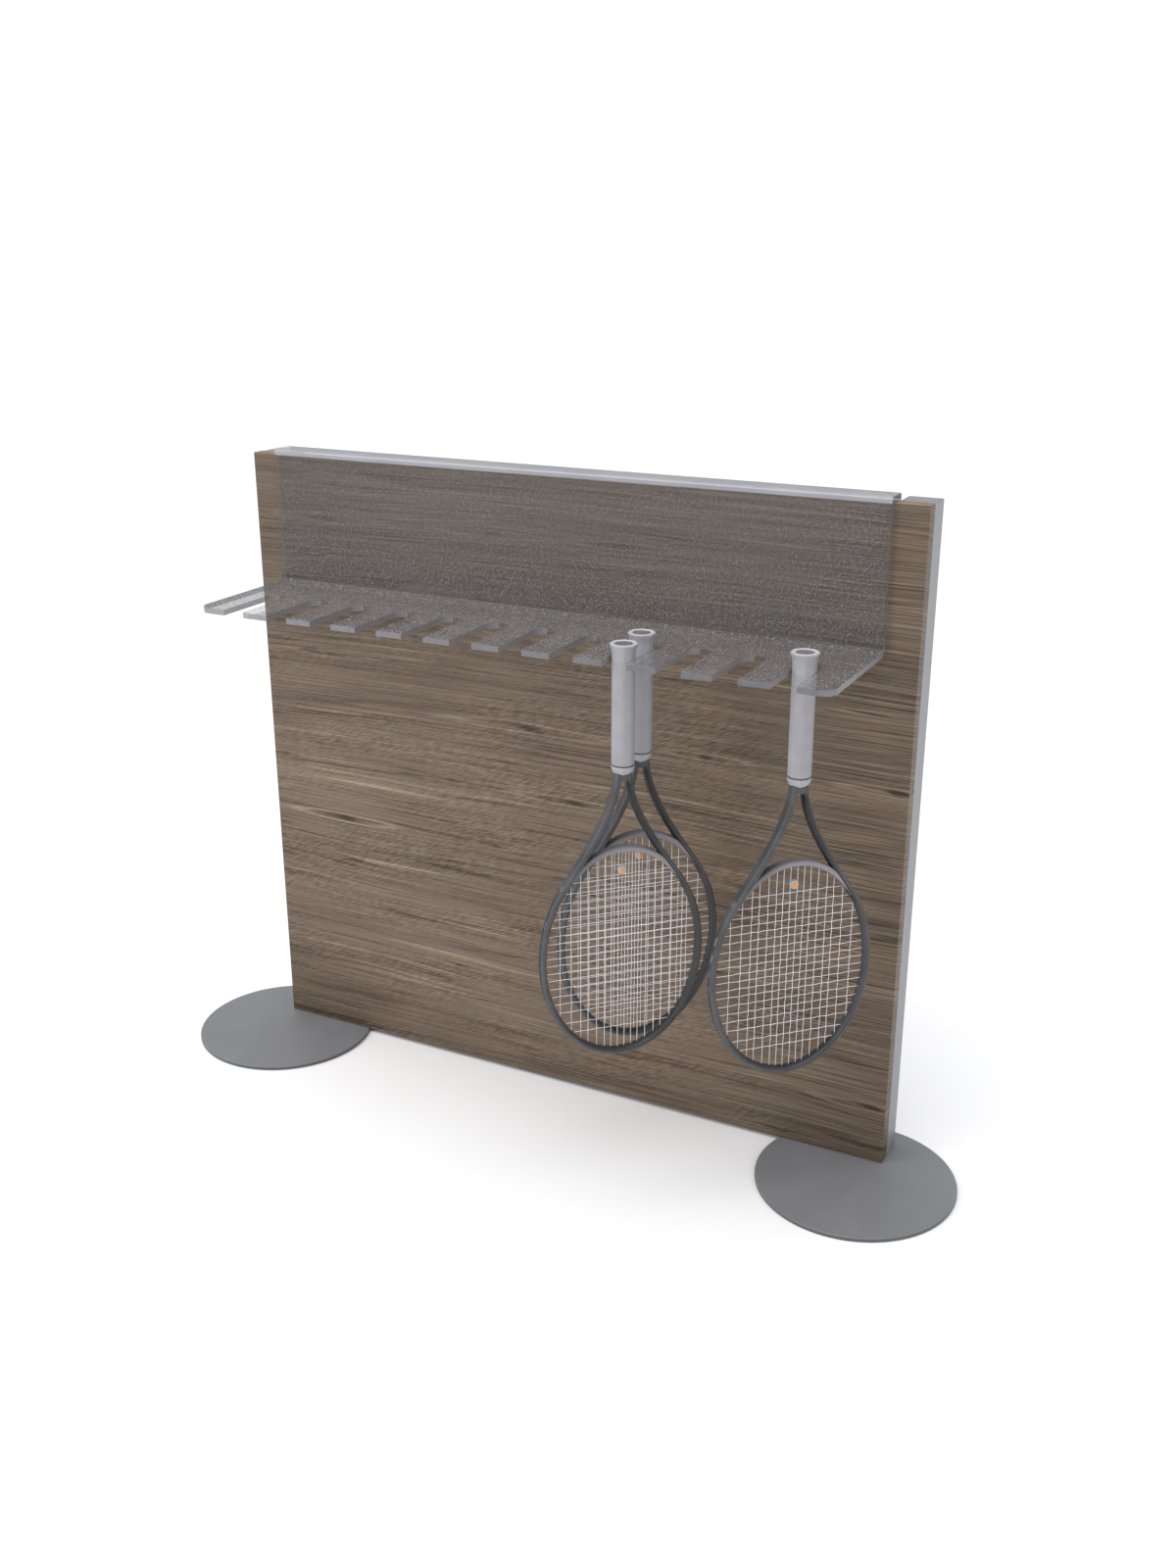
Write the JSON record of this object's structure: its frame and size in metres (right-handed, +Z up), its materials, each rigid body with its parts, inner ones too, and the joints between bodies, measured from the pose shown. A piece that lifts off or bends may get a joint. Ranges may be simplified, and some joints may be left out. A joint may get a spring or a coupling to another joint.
{
  "type": "racket display stand",
  "caption": "Freestanding shop display: a wood-laminate panel on a grey box frame with two round floor plates, and a clear lift-off rack whose fingers hold tennis rackets by their butt caps.",
  "frame": {"origin": "middle of the object's footprint, on the floor", "axes": "+Z up, +X along the panel to the right as the shopper sees it, -Y towards the shopper, where the fingers point"},
  "size_m": [1.5086, 0.4185, 1.1352],
  "materials": {
    "laminate": "satin weathered-oak laminate, grain level",
    "grey_paint": "satin",
    "plate_paint": "satin",
    "clear_sheet": "clear with a fine speckle",
    "zinc": "zinc plated",
    "racket_paint": "semi-gloss dark grey",
    "bumper_plastic": "matt",
    "string": "white",
    "pallet_foam": "moulded foam",
    "grip_cover": "matt light grey",
    "cap_plastic": "satin light grey",
    "collar_rubber": "matt",
    "dampener_rubber": "matt"
  },
  "bodies": {
    "panel": {"face_board": "laminate", "frame_upright_left": "grey_paint", "frame_upright_right": "grey_paint", "frame_top_rail": "grey_paint", "frame_mid_rail": "grey_paint", "frame_bottom_rail": "grey_paint", "back_sheet": "grey_paint", "base_plate_left": "plate_paint", "base_plate_right": "plate_paint", "base_screw_1": "zinc", "base_screw_2": "zinc", "base_screw_3": "zinc", "base_screw_4": "zinc", "base_screw_5": "zinc", "base_screw_6": "zinc", "base_screw_7": "zinc", "base_screw_8": "zinc", "board_screw_1": "zinc", "board_screw_2": "zinc", "board_screw_3": "zinc", "board_screw_4": "zinc", "board_screw_5": "zinc", "board_screw_6": "zinc", "back_screw_1": "zinc", "back_screw_2": "zinc", "back_screw_3": "zinc", "back_screw_4": "zinc", "back_screw_5": "zinc", "back_screw_6": "zinc", "back_screw_7": "zinc", "back_screw_8": "zinc"},
    "rack": {"display_rack": "clear_sheet"},
    "racket_right": {"racket_right_frame": "racket_paint", "racket_right_bumper": "bumper_plastic", "racket_right_main_strings": "string", "racket_right_cross_strings": "string", "racket_right_pallet": "pallet_foam", "racket_right_grip": "grip_cover", "racket_right_butt_cap": "cap_plastic", "racket_right_grip_collar": "collar_rubber", "racket_right_dampener": "dampener_rubber"},
    "racket_front": {"racket_front_frame": "racket_paint", "racket_front_bumper": "bumper_plastic", "racket_front_main_strings": "string", "racket_front_cross_strings": "string", "racket_front_pallet": "pallet_foam", "racket_front_grip": "grip_cover", "racket_front_butt_cap": "cap_plastic", "racket_front_grip_collar": "collar_rubber", "racket_front_dampener": "dampener_rubber"},
    "racket_rear": {"racket_rear_frame": "racket_paint", "racket_rear_bumper": "bumper_plastic", "racket_rear_main_strings": "string", "racket_rear_cross_strings": "string", "racket_rear_pallet": "pallet_foam", "racket_rear_grip": "grip_cover", "racket_rear_butt_cap": "cap_plastic", "racket_rear_grip_collar": "collar_rubber", "racket_rear_dampener": "dampener_rubber"}
  },
  "joints": [
    {"name": "rack_lift", "type": "slide", "parent": "panel", "child": "rack", "axis": [0, 0, 1], "range_m": [0, 0.08]},
    {"name": "racket_right_slide", "type": "slide", "parent": "rack", "child": "racket_right", "axis": [0, -1, 0], "range_m": [-0.015, 0.12]},
    {"name": "racket_front_slide", "type": "slide", "parent": "rack", "child": "racket_front", "axis": [0, -1, 0], "range_m": [0, 0.08]},
    {"name": "racket_rear_slide", "type": "slide", "parent": "rack", "child": "racket_rear", "axis": [0, -1, 0], "range_m": [-0.008, 0.014]}
  ]
}
